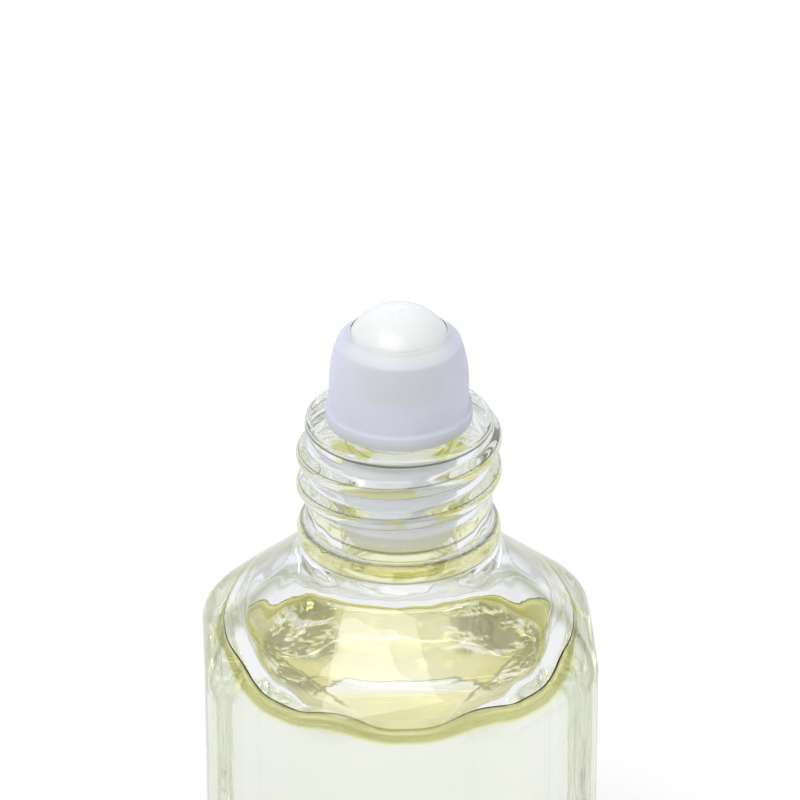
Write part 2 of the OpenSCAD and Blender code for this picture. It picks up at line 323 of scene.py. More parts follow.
class Board:
    """A node tree, with short calls that add, set and join its nodes."""

    def __init__(self, tree: bpy.types.NodeTree) -> None:
        """Keeps the tree."""
        self.tree = tree

    def add(self, kind: str, **values: object) -> bpy.types.Node:
        """Adds a node.

        Args:
            kind: Blender's name of the node type.
            **values: Properties of the node.

        Returns:
            The new node.
        """
        node = self.tree.nodes.new(kind)
        for key, value in values.items():
            setattr(node, key, value)
        return node

    def join(self, output: bpy.types.NodeSocket, target: bpy.types.NodeSocket) -> None:
        """Joins an output to an input."""
        self.tree.links.new(output, target)

    def math(self, operation: str, first: object, second: object = None) -> bpy.types.NodeSocket:
        """Adds a Math node.

        Args:
            operation: Blender's name of the operation.
            first: A socket or a number.
            second: A socket or a number, where the operation takes two.

        Returns:
            The node's output.
        """
        node = self.add("ShaderNodeMath", operation=operation)
        for slot, value in enumerate((first, second)):
            if isinstance(value, bpy.types.NodeSocket):
                self.join(value, node.inputs[slot])
            elif value is not None:
                node.inputs[slot].default_value = value
        return node.outputs[0]

    def times(self, first: object, *others: object) -> bpy.types.NodeSocket:
        """Multiplies sockets or numbers with each other.

        Args:
            first: The first factor.
            *others: The others.

        Returns:
            The product.
        """
        for value in others:
            first = self.math("MULTIPLY", first, value)
        return first

    def share(self, value: bpy.types.NodeSocket, low: float, span: float) -> bpy.types.NodeSocket:
        """Gives how far a value lies from low on, as a share of span."""
        return self.math("MULTIPLY", self.math("SUBTRACT", value, low), 1.0 / span)

    def ramp(self, factor: bpy.types.NodeSocket, low: float, high: float,
             first: float = 0.0, last: float = 1.0) -> bpy.types.NodeSocket:
        """Maps low..high of a factor smoothly to first..last.

        Args:
            factor: The socket to map.
            low: Value of the factor that gives first.
            high: Value of the factor that gives last.
            first: Output at low.
            last: Output at high.

        Returns:
            The mapped output.
        """
        node = self.add("ShaderNodeMapRange", interpolation_type="SMOOTHSTEP")
        self.join(factor, node.inputs["Value"])
        for key, value in zip(("From Min", "From Max", "To Min", "To Max"), (low, high, first, last)):
            node.inputs[key].default_value = value
        return node.outputs["Result"]

    def fall(self, factor: bpy.types.NodeSocket, low: float, high: float) -> bpy.types.NodeSocket:
        """Mask that falls smoothly from 1 at low to 0 at high."""
        return self.ramp(factor, low, high, 1.0, 0.0)

    def band(self, factor: bpy.types.NodeSocket, low: float, high: float,
             fade: float) -> bpy.types.NodeSocket:
        """Mask that is 1 between low and high and fades out over fade within them."""
        return self.times(self.ramp(factor, low, low + fade), self.fall(factor, high - fade, high))

    def stops(self, factor: bpy.types.NodeSocket, places: tuple[float, ...],
              colours: tuple[Colour, ...]) -> bpy.types.NodeSocket:
        """Maps a factor through a row of colours.

        Args:
            factor: The socket to map.
            places: Where each colour stands, from 0 to 1.
            colours: The colours.

        Returns:
            The colour.
        """
        node = self.add("ShaderNodeValToRGB")
        self.join(factor, node.inputs["Fac"])
        row = node.color_ramp.elements
        while len(row) < len(places):
            row.new(1.0)
        for element, place, colour in zip(row, places, colours):
            element.position = place
            element.color = colour
        return node.outputs["Color"]

    def mix(self, factor: bpy.types.NodeSocket, first: object, second: object) -> bpy.types.NodeSocket:
        """Mixes two colours.

        Args:
            factor: Share of the second colour.
            first: A colour or a socket.
            second: A colour or a socket.

        Returns:
            The mixed colour.
        """
        node = self.add("ShaderNodeMix", data_type="RGBA")
        self.join(factor, node.inputs[0])
        for socket, value in zip((node.inputs[6], node.inputs[7]), (first, second)):
            if isinstance(value, bpy.types.NodeSocket):
                self.join(value, socket)
            else:
                socket.default_value = value
        return node.outputs[2]


class Effects:
    """Node groups that the finishes share, each built once."""

    def __init__(self) -> None:
        """Builds the groups."""
        self.ripple = self._ripple()
        self.marks = self._marks()
        self.specks = self._specks()

    @staticmethod
    def _group(name: str, output: str, **values: float) -> tuple[Board, bpy.types.Node, bpy.types.Node]:
        """Makes an empty group, which takes a Vector and numbers and gives one number.

        Args:
            name: Name of the group.
            output: Name of its output.
            **values: Defaults of its number inputs, with _ for a space in their names.

        Returns:
            The board, the group's input node and its output node.
        """
        tree = bpy.data.node_groups.new(name, "ShaderNodeTree")
        tree.interface.new_socket(name="Vector", in_out="INPUT", socket_type="NodeSocketVector")
        for key, value in values.items():
            socket = tree.interface.new_socket(name=key.replace("_", " "), in_out="INPUT",
                                               socket_type="NodeSocketFloat")
            socket.default_value = value
        tree.interface.new_socket(name=output, in_out="OUTPUT", socket_type="NodeSocketFloat")
        board = Board(tree)
        return board, board.add("NodeGroupInput"), board.add("NodeGroupOutput")

    @staticmethod
    def _texture(board: Board, given: bpy.types.Node, kind: str, scale: str,
                 **values: float) -> bpy.types.Node:
        """Adds a texture inside a group, on the group's Vector.

        Args:
            board: The group's board.
            given: The group's input node.
            kind: Blender's name of the node type.
            scale: Name of the input that holds its scale.
            **values: Its other constant inputs.

        Returns:
            The new node.
        """
        node = board.add(kind)
        board.join(given.outputs["Vector"], node.inputs["Vector"])
        board.join(given.outputs[scale], node.inputs["Scale"])
        for key, value in values.items():
            node.inputs[key].default_value = value
        return node

    def _ripple(self) -> bpy.types.NodeTree:
        """Slow swell plus a fine peel, as a height for a Bump node.

        Returns:
            The group.
        """
        board, given, result = self._group("mould_ripple", "Height", Swell_Scale=250.0,
                                           Peel_Scale=2500.0, Peel_Share=0.2)
        swell = self._texture(board, given, "ShaderNodeTexNoise", "Swell Scale", Detail=1.0)
        peel = self._texture(board, given, "ShaderNodeTexNoise", "Peel Scale", Detail=2.0)
        fine = board.times(peel.outputs["Fac"], given.outputs["Peel Share"])
        board.join(board.math("ADD", swell.outputs["Fac"], fine), result.inputs["Height"])
        return board.tree

    def _marks(self) -> bpy.types.NodeTree:
        """Smudges of handling, as a mask that is 1 where the surface is touched.

        Returns:
            The group.
        """
        board, given, result = self._group("handling_marks", "Mask", Scale=180.0,
                                           Edge_Low=0.5, Edge_High=0.72)
        noise = self._texture(board, given, "ShaderNodeTexNoise", "Scale", Detail=4.0, Distortion=0.4)
        spread = board.add("ShaderNodeMapRange", interpolation_type="SMOOTHSTEP")
        board.join(noise.outputs["Fac"], spread.inputs["Value"])
        board.join(given.outputs["Edge Low"], spread.inputs["From Min"])
        board.join(given.outputs["Edge High"], spread.inputs["From Max"])
        board.join(spread.outputs["Result"], result.inputs["Mask"])
        return board.tree

    def _specks(self) -> bpy.types.NodeTree:
        """Scattered dust specks, as a mask that is 1 inside a speck.

        Returns:
            The group.
        """
        board, given, result = self._group("dust_specks", "Mask", Scale=900.0, Size=0.12, Share=0.08)
        cells = self._texture(board, given, "ShaderNodeTexVoronoi", "Scale")
        parts = board.add("ShaderNodeSeparateColor")
        board.join(cells.outputs["Color"], parts.inputs["Color"])
        near = board.math("LESS_THAN", cells.outputs["Distance"], given.outputs["Size"])
        chosen = board.math("LESS_THAN", parts.outputs[0], given.outputs["Share"])
        board.join(board.times(near, chosen), result.inputs["Mask"])
        return board.tree


class Finish:
    """A material with one Principled BSDF, fed by node groups on Object coordinates."""

    def __init__(self, name: str) -> None:
        """Makes the material and its coordinates.

        Args:
            name: Name of the material.
        """
        self.material = bpy.data.materials.new(name)
        self.material.use_nodes = True
        self.board = Board(self.material.node_tree)
        self.shader = self.material.node_tree.nodes["Principled BSDF"]
        self.result = self.material.node_tree.nodes["Material Output"]
        self.place = self.board.add("ShaderNodeTexCoord").outputs["Object"]

    def set(self, **values: object) -> None:
        """Sets constant sockets of the shader, with _ for a space in their names."""
        for key, value in values.items():
            self.shader.inputs[key.replace("_", " ")].default_value = value

    def coordinates(self) -> tuple[bpy.types.NodeSocket, ...]:
        """Takes the object's coordinates apart.

        Returns:
            X, Y and Z in metres.
        """
        parts = self.board.add("ShaderNodeSeparateXYZ")
        self.board.join(self.place, parts.inputs[0])
        return tuple(parts.outputs)

    def attribute(self, name: str) -> bpy.types.NodeSocket:
        """Reads a number that the mesh carries."""
        return self.board.add("ShaderNodeAttribute", attribute_name=name).outputs["Fac"]

    def facing(self) -> bpy.types.NodeSocket:
        """Gives 0 where the surface is seen square on and 1 where it is seen along itself.

        Returns:
            The Facing output of a Layer Weight node.
        """
        node = self.board.add("ShaderNodeLayerWeight")
        node.inputs["Blend"].default_value = 0.5
        return node.outputs["Facing"]

    def blotches(self, scale: float, low: float, high: float) -> bpy.types.NodeSocket:
        """Mask of soft blotches, made of plain noise.

        Args:
            scale: Scale of the noise.
            low: Noise at which a blotch starts.
            high: Noise from which it is full.

        Returns:
            The mask.
        """
        node = self.board.add("ShaderNodeTexNoise")
        self.board.join(self.place, node.inputs["Vector"])
        node.inputs["Scale"].default_value = scale
        return self.board.ramp(node.outputs["Fac"], low, high)

    def group(self, tree: bpy.types.NodeTree, **values: float) -> bpy.types.NodeSocket:
        """Places a group with its own values.

        Args:
            tree: The node group.
            **values: Its inputs, with _ for a space in their names.

        Returns:
            The group's first output.
        """
        node = self.board.add("ShaderNodeGroup", node_tree=tree)
        self.board.join(self.place, node.inputs["Vector"])
        for key, value in values.items():
            node.inputs[key.replace("_", " ")].default_value = value
        return node.outputs[0]

    def feed(self, output: bpy.types.NodeSocket, key: str) -> None:
        """Joins an output to a socket of the shader."""
        self.board.join(output, self.shader.inputs[key])

    def bump(self, height: bpy.types.NodeSocket, strength: float, distance: float) -> None:
        """Feeds the shader's normal from a height.

        Args:
            height: The height, from about 0 to 1.
            strength: Strength of the bump.
            distance: Metres that a height of 1 stands for.
        """
        node = self.board.add("ShaderNodeBump")
        node.inputs["Strength"].default_value = strength
        node.inputs["Distance"].default_value = distance
        self.board.join(height, node.inputs["Height"])
        self.feed(node.outputs["Normal"], "Normal")

    def absorb(self, colour: Colour, density: float) -> None:
        """Gives the inside a plain absorption.

        Args:
            colour: Colour of the light that is left.
            density: How fast the rest goes.
        """
        volume = self.board.add("ShaderNodeVolumeAbsorption")
        volume.inputs["Color"].default_value = colour
        volume.inputs["Density"].default_value = density
        self.board.join(volume.outputs[0], self.result.inputs["Volume"])


@dataclass(frozen=True)
class ClearGlass:
    """Polished flint glass, with painted shade, highlights and reflections of the oil on its thread, bead,
    rim and edges.

    Heights are in metres over the base. Places on the bead and the rim are shares of their
    bands, and places on the thread are shares of its relief. A span gives where a mask starts
    and where it is full, and blotches give the scale of their noise and the noise's span.
    """

    ior: float = 1.52
    body_tint: Colour = WHITE
    neck_tint: Colour = (0.95, 0.965, 1.0, 1.0)
    # painted shade: dark lines on the thread's flanks, by the bead and round the rim
    painted_shade_line: Colour = (0.09, 0.094, 0.025, 1.0)
    # painted reflection of the oil that the bead bends into view, deeper in patches
    bead_painted_reflection: Colour = (0.90, 0.87, 0.42, 1.0)
    bead_painted_reflection_deep: Colour = (0.50, 0.49, 0.09, 1.0)
    # painted highlight on the thread's crest, deeper yellow in patches
    crest_painted_highlight: Colour = (0.95, 0.96, 0.88, 1.0)
    crest_painted_highlight_deep: Colour = (0.84, 0.79, 0.26, 1.0)
    # painted reflection of the oil in patches on the rim
    rim_painted_reflection: Colour = (0.66, 0.68, 0.16, 1.0)
    # painted shade where the glass is seen along itself, in streaks on the shoulder
    painted_edge_shade: Colour = (0.29, 0.32, 0.09, 1.0)
    smudge_tint: Colour = (0.985, 0.995, 0.985, 1.0)
    smudge_rough: float = 0.03
    depth: Colour = (0.72, 0.80, 0.60, 1.0)
    density: float = 3.5
    bead_low: float = 0.0379
    bead_span: float = 0.002
    bead_places: tuple[float, ...] = (0.10, 0.17, 0.25, 0.72, 0.82, 0.90)
    bead_deep_band: Triple = (0.25, 0.70, 0.10)
    bead_blotches: Triple = (600.0, 0.50, 0.62)
    thread_places: tuple[float, ...] = (0.64, 0.72, 0.80)
    crest_span: Span = (0.75, 0.82)
    crest_blotches: Triple = (340.0, 0.48, 0.60)
    rim_low: float = 0.0472
    rim_span: float = 0.000625
    rim_places: tuple[float, ...] = (0.22, 0.36, 0.50, 0.64)
    band_fade: float = 0.05
    patch_turn: float = 0.62
    patch_half: float = 0.42
    patch_span: Span = (0.04768, 0.04774)
    patch_blotches: Triple = (900.0, 0.42, 0.52)
    edge_span: Span = (0.74, 0.95)
    shoulder_band: Triple = (0.028, 0.038, 0.001)
    streak_places: tuple[float, ...] = (0.44, 0.50, 0.56, 0.60, 0.66, 0.73, 0.92)
    streak_shares: tuple[float, ...] = (0.0, 0.55, 0.75, 0.05, 0.0, 0.75, 0.95)

    def make(self, effects: Effects) -> bpy.types.Material:
        """Builds the material.

        Args:
            effects: The shared node groups.

        Returns:
            The finished material.
        """
        finish = Finish("clear_glass")
        board = finish.board
        finish.set(IOR=self.ior, Transmission_Weight=1.0)
        x, y, z = finish.coordinates()
        marks = finish.group(effects.marks, Scale=160.0, Edge_Low=0.56, Edge_High=0.8)
        finish.feed(board.ramp(marks, 0.0, 1.0, 0.0, self.smudge_rough), "Roughness")
        along_bead = board.share(z, self.bead_low, self.bead_span)
        along_rim = board.share(z, self.rim_low, self.rim_span)
        above = board.ramp(along_bead, self.bead_places[-1], 1.0)
        colour = board.mix(above, self.bead(finish, along_bead), self.thread(finish))
        # painted shade lines round the rim
        rim = board.stops(along_rim, self.rim_places,
                          (self.neck_tint, self.painted_shade_line, self.painted_shade_line, self.neck_tint))
        colour = board.mix(board.ramp(along_rim, 0.0, self.band_fade), colour, rim)
        # patches of painted reflection on the rim
        colour = board.mix(self.painted_rim_reflections(finish, x, y, z), colour, self.rim_painted_reflection)
        touched = board.mix(board.ramp(along_bead, 0.0, self.band_fade), self.smudge_tint, colour)
        colour = board.mix(marks, colour, touched)
        # painted shade along the glass's edges and in streaks on the shoulder
        finish.feed(board.mix(self.edge(finish, z), colour, self.painted_edge_shade), "Base Color")
        ripple = finish.group(effects.ripple, Swell_Scale=220.0, Peel_Scale=1400.0, Peel_Share=0.05)
        finish.bump(ripple, strength=0.25, distance=0.0001)
        finish.absorb(self.depth, self.density)
        return finish.material

    def thread(self, finish: Finish) -> bpy.types.NodeSocket:
        """Colour of the neck and its thread, with a painted shade line on both flanks and a painted
        highlight on the crest, deeper in patches.

        Args:
            finish: The finish that it is for, whose mesh carries the thread's relief as "ridge".

        Returns:
            The colour.
        """
        board = finish.board
        ridge = finish.attribute("ridge")
        crest = board.mix(finish.blotches(*self.crest_blotches), self.crest_painted_highlight, self.crest_painted_highlight_deep)
        flank = board.stops(ridge, self.thread_places, (self.neck_tint, self.painted_shade_line, self.crest_painted_highlight))
        # painted highlight on the crest, over the flanks' painted shade lines
        return board.mix(board.ramp(ridge, *self.crest_span), flank, crest)

    def bead(self, finish: Finish, along: bpy.types.NodeSocket) -> bpy.types.NodeSocket:
        """Colour of the body below the bead and of the bead, which is a painted reflection of the oil, with
        a painted shade line above and below it.

        Args:
            finish: The finish that it is for.
            along: How far up the bead's band a point lies.

        Returns:
            The colour.
        """
        board = finish.board
        plain = board.stops(along, self.bead_places, (self.body_tint, self.painted_shade_line, self.bead_painted_reflection,
                                                      self.bead_painted_reflection, self.painted_shade_line, self.neck_tint))
        # deeper patches of the painted reflection on the bead
        deep = board.times(board.band(along, *self.bead_deep_band), finish.blotches(*self.bead_blotches))
        return board.mix(deep, plain, self.bead_painted_reflection_deep)

    def painted_rim_reflections(self, finish: Finish, x: bpy.types.NodeSocket, y: bpy.types.NodeSocket,
                    z: bpy.types.NodeSocket) -> bpy.types.NodeSocket:
        """Mask of the patches of painted reflection on the rim, to both sides of the front.

        Args:
            finish: The finish that it is for.
            x: X in metres.
            y: Y in metres.
            z: Z in metres.

        Returns:
            The mask.
        """
        board = finish.board
        turn = board.math("ABSOLUTE", board.math("ARCTAN2", x, board.times(y, -1.0)))
        away = board.math("ABSOLUTE", board.math("SUBTRACT", turn, self.patch_turn))
        return board.times(board.fall(away, self.patch_half / 2, self.patch_half),
                           finish.blotches(*self.patch_blotches), board.ramp(z, *self.patch_span))

    def edge(self, finish: Finish, z: bpy.types.NodeSocket) -> bpy.types.NodeSocket:
        """Mask of painted shade where the glass is seen along itself, which on the shoulder falls into
        streaks.

        Args:
            finish: The finish that it is for.
            z: Z in metres.

        Returns:
            The mask.
        """
        board = finish.board
        facing = finish.facing()
        greys = tuple((share, share, share, 1.0) for share in self.streak_shares)
        streaks = board.stops(facing, self.streak_places, greys)
        shoulder = board.band(z, *self.shoulder_band)
        return board.mix(shoulder, board.ramp(facing, *self.edge_span), streaks)


@dataclass(frozen=True)
class PaleOil:
    """Clear perfume oil, with painted shade that makes it a deeper yellow where it is seen through its
    surface.

    On its flat surface is painted what the eight-sided glass throws on it: a lens of painted highlight in
    front that is bounded by painted dark bent lines, and mottled patches of painted light and shade behind.
    Lengths are in metres, and a span gives where a mask starts and where it is full.
    """

    ior: float = 1.46
    wall: Colour = (0.935, 0.95, 0.885, 1.0)
    # the band where the oil climbs the glass is painted with light and shade: light lines, dark lines and
    # olive bands for what the glass bends onto it
    light_line: Colour = (0.93, 0.90, 0.34, 1.0)
    dark_line: Colour = (0.30, 0.29, 0.05, 1.0)
    olive: Colour = (0.40, 0.41, 0.10, 1.0)
    edge: Colour = (0.50, 0.46, 0.09, 1.0)
    # painted shade: the flat surface's deeper yellow, darker still towards the sides
    surface: Colour = (0.93, 0.85, 0.40, 1.0)
    aside: Colour = (0.80, 0.70, 0.16, 1.0)
    # painted highlight and painted reflection that make up the lens in front
    gleam: Colour = (1.0, 1.0, 0.97, 1.0)
    amber: Colour = (1.0, 0.90, 0.38, 1.0)
    # painted shade in patches behind the lens
    painted_shade_patch: Colour = (0.22, 0.20, 0.05, 1.0)
    # painted shade: the dark bent lines round the lens
    bend: Colour = (0.24, 0.20, 0.06, 1.0)
    depth: Colour = (0.93, 0.90, 0.35, 1.0)
    density: float = 5.0
    edge_places: tuple[float, ...] = (0.16, 0.19, 0.24, 0.35, 0.42, 0.47, 0.51, 0.57, 0.66, 0.90)
    flat_span: Span = (0.72, 0.85)
    aside_span: Span = (0.0015, 0.0065)
    lens_span: float = 0.005
    lens_places: tuple[float, ...] = (0.55, 0.82)
    lens_fade: float = 0.0001
    bend_y: float = 0.0031
    bend_x: float = 0.0040
    bend_way: tuple[float, float] = (0.87, 0.5)
    outer_way: tuple[float, float] = (0.915, 0.404)
    outer_at: float = 0.00787
    behind_span: Span = (0.0005, -0.001)
    outside_span: Span = (0.0, 0.0004)
    rise_span: Span = (0.55, 0.65)
    front_span: Span = (0.008, 0.006)
    light_wide: Span = (0.002, 0.004)
    light_flow: Span = (0.82, 0.76)
    dark_wide: Span = (0.0038, 0.0048)
    dark_flow: Span = (0.82, 0.94)
    side_span: Span = (-0.0005, 0.0003)
    line_fade: Span = (0.00005, 0.00026)
    flow_middle: float = 0.95
    wobble: float = 0.0008

    def make(self, effects: Effects) -> bpy.types.Material:
        """Builds the material.

        Args:
            effects: The shared node groups.

        Returns:
            The finished material, for a mesh that carries its way over the edge as "edge_path".
        """
        finish = Finish("pale_oil")
        board = finish.board
        finish.set(IOR=self.ior, Transmission_Weight=1.0, Roughness=0.0)
        along = board.times(finish.attribute("edge_path"), 0.5)
        x, y, _ = finish.coordinates()
        wide = board.math("ABSOLUTE", x)
        ahead = board.times(y, -1.0)
        flat = board.ramp(along, *self.flat_span)
        flow = finish.group(effects.ripple, Swell_Scale=520.0, Peel_Scale=2200.0, Peel_Share=0.9)
        inner, outer = self.bends(board, wide, ahead)
        # painted light and shade along the band where the oil climbs the glass
        colours = (self.wall, self.light_line, self.olive, self.edge, self.light_line, self.dark_line,
                   self.light_line, self.edge, self.light_line, self.surface)
        # painted shade, darker yellow towards the sides of the surface
        aside = board.times(flat, board.ramp(wide, *self.aside_span))
        colour = board.mix(aside, board.stops(along, self.edge_places, colours), self.aside)
        # painted lens: a highlight that turns to amber towards the front
        lens = board.stops(board.share(ahead, self.bend_y, self.lens_span), self.lens_places,
                           (self.gleam, self.amber))
        colour = board.mix(board.times(flat, board.fall(inner, -self.lens_fade, 0.0)), colour, lens)
        # patches of painted light and painted shade behind the lens
        far = board.math("MAXIMUM", board.ramp(ahead, *self.behind_span),
                         board.ramp(outer, *self.outside_span))
        far = board.times(far, board.ramp(along, *self.rise_span), board.ramp(ahead, *self.front_span))
        for wides, flows, tint in ((self.light_wide, self.light_flow, self.gleam),
                                   (self.dark_wide, self.dark_flow, self.painted_shade_patch)):
            patches = board.times(far, board.ramp(wide, *wides), board.ramp(flow, *flows))
            colour = board.mix(patches, colour, tint)
        # painted dark bent lines
        lines = board.times(self.lines(board, ahead, flow, inner, outer), flat)
        finish.feed(board.mix(lines, colour, self.bend), "Base Color")
        finish.absorb(self.depth, self.density)
        return finish.material

    def bends(self, board: Board, wide: bpy.types.NodeSocket,
              ahead: bpy.types.NodeSocket) -> tuple[bpy.types.NodeSocket, bpy.types.NodeSocket]:
        """Distances from the painted bent lines on the surface, which are straight lines and their mirror
        images.

        The inner one bounds the lens, with one side across the front and one slanting at each
        hand, and the outer one runs on outside it.

        Args:
            board: The board of the finish.
            wide: Distance from the middle plane.
            ahead: Distance in front of the axis.

        Returns:
            Distance outwards from the inner and from the outer line.
        """
        beside = board.times(board.math("SUBTRACT", wide, self.bend_x), self.bend_way[0])
        before = board.times(board.math("SUBTRACT", ahead, self.bend_y), self.bend_way[1])
        inner = board.math("MAXIMUM", board.math("SUBTRACT", self.bend_y, ahead),
                           board.math("SUBTRACT", beside, before))
        outer = board.math("ADD", board.times(wide, self.outer_way[0]),
                           board.times(ahead, self.outer_way[1]))
        return inner, board.math("SUBTRACT", outer, self.outer_at)

    def lines(self, board: Board, ahead: bpy.types.NodeSocket, flow: bpy.types.NodeSocket,
              inner: bpy.types.NodeSocket, outer: bpy.types.NodeSocket) -> bpy.types.NodeSocket:
        """Mask of the painted dark bent lines, which wander a little, the outer one only in front.

        Args:
            board: The board of the finish.
            ahead: Distance in front of the axis.
            flow: The ripple that they wander with.
            inner: Distance from the inner line.
            outer: Distance from the outer line.

        Returns:
            The mask.
        """
        wander = board.times(board.math("SUBTRACT", flow, self.flow_middle), self.wobble)
        near = [board.fall(board.math("ABSOLUTE", board.math("ADD", distance, wander)), *self.line_fade)
                for distance in (inner, outer)]
        return board.math("MAXIMUM", near[0], board.times(board.ramp(ahead, *self.side_span), near[1]))


@dataclass(frozen=True)
class HousingPlastic:
    """Natural moulded plastic, satin and milky, with painted shade where the ball stands behind the cup and
    painted light on the lip's front.

    The plug is lighter than the cup, as painted light. Heights are in metres over the base, and a span
    gives where a mask starts and where it is full.
    """

    light: Colour = (0.745, 0.75, 0.84, 1.0)
    deep: Colour = (0.705, 0.71, 0.80, 1.0)
    # painted shade where the ball behind the cup's front keeps light from shining through
    painted_ball_shade: Colour = (0.70, 0.70, 0.73, 1.0)
    lip: Colour = (0.70, 0.71, 0.78, 1.0)
    # painted light on the lip where it is seen square on, as if the white ball lit it from behind
    lip_painted_light: Colour = (0.86, 0.87, 0.84, 1.0)
    # painted light: the plug inside the glass is made lighter than the cup
    plug: Colour = (0.99, 0.99, 1.0, 1.0)
    speck: Colour = (0.45, 0.45, 0.48, 1.0)
    flow_span: Span = (0.4, 0.8)
    cup_span: Span = (0.0472, 0.0478)
    ball_span: Span = (0.0505, 0.052)
    lip_span: Span = (0.0536, 0.0549)
    front_fade: Span = (0.1, 0.5)
    lip_fade: Span = (0.25, 0.5)
    rough: Span = (0.42, 0.55)

    def make(self, effects: Effects) -> bpy.types.Material:
        """Builds the material.

        Args:
            effects: The shared node groups.

        Returns:
            The finished material.
        """
        finish = Finish("housing_plastic")
        board = finish.board
        finish.set(IOR=1.5, Subsurface_Weight=0.6, Subsurface_Radius=(1.0, 1.0, 1.2),
                   Subsurface_Scale=0.0003)
        flow = finish.group(effects.ripple, Swell_Scale=160.0, Peel_Scale=900.0, Peel_Share=0.3)
        colour = board.mix(board.ramp(flow, *self.flow_span), self.light, self.deep)
        z = finish.coordinates()[2]
        facing = finish.facing()
        # painted shade where the ball stands behind the cup, strongest where the cup is seen square on
        painted_ball_shade = board.times(board.fall(facing, *self.front_fade), board.ramp(z, *self.ball_span))
        colour = board.mix(painted_ball_shade, colour, self.painted_ball_shade)
        # painted light on the lip's front
        lip = board.mix(board.ramp(facing, *self.lip_fade), self.lip_painted_light, self.lip)
        colour = board.mix(board.ramp(z, *self.lip_span), colour, lip)
        # painted light: the plug below the cup is lighter
        colour = board.mix(board.ramp(z, *self.cup_span), self.plug, colour)
        dust = finish.group(effects.specks, Scale=900.0, Size=0.13, Share=0.012)
        finish.feed(board.mix(dust, colour, self.speck), "Base Color")
        marks = finish.group(effects.marks, Scale=260.0)
        finish.feed(board.ramp(marks, 0.0, 1.0, *self.rough), "Roughness")
        ripple = finish.group(effects.ripple, Swell_Scale=500.0, Peel_Scale=5200.0, Peel_Share=0.5)
        finish.bump(ripple, strength=0.15, distance=0.00006)
        return finish.material


@dataclass(frozen=True)
class BallPlastic:
    """White ball, faintly ivory, with a soft gloss."""

    light: Colour = (0.92, 0.92, 0.875, 1.0)
    warm: Colour = (0.90, 0.895, 0.84, 1.0)
    flow_span: Span = (0.4, 0.8)
    rough: Span = (0.2, 0.34)

    def make(self, effects: Effects) -> bpy.types.Material:
        """Builds the material.

        Args:
            effects: The shared node groups.

        Returns:
            The finished material.
        """
        finish = Finish("ball_plastic")
        board = finish.board
        finish.set(IOR=1.5, Subsurface_Weight=0.3, Subsurface_Radius=(1.0, 1.0, 0.9),
                   Subsurface_Scale=0.0008)
        flow = finish.group(effects.ripple, Swell_Scale=190.0, Peel_Scale=800.0, Peel_Share=0.2)
        finish.feed(board.mix(board.ramp(flow, *self.flow_span), self.light, self.warm), "Base Color")
        marks = finish.group(effects.marks, Scale=420.0)
        finish.feed(board.ramp(marks, 0.0, 1.0, *self.rough), "Roughness")
        ripple = finish.group(effects.ripple, Swell_Scale=900.0, Peel_Scale=6000.0, Peel_Share=0.4)
        finish.bump(ripple, strength=0.08, distance=0.00004)
        return finish.material


# Sub-assemblies


def settle(piece: bpy.types.Object, body: Body, material: bpy.types.Material,
           node: str | None = None) -> None:
    """Dresses a piece, rides it on its body and hides the CAD node that it stands for.

    Args:
        piece: The new piece.
        body: The CAD body that it rides on.
        material: Its material.
        node: The CAD node that it replaces, if it does.
    """
    piece.data.materials.append(material)
    if node:
        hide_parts(node)
    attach(piece, body.value)
    log.info("%s: %d faces, on %s", piece.name, len(piece.data.polygons), body.value)


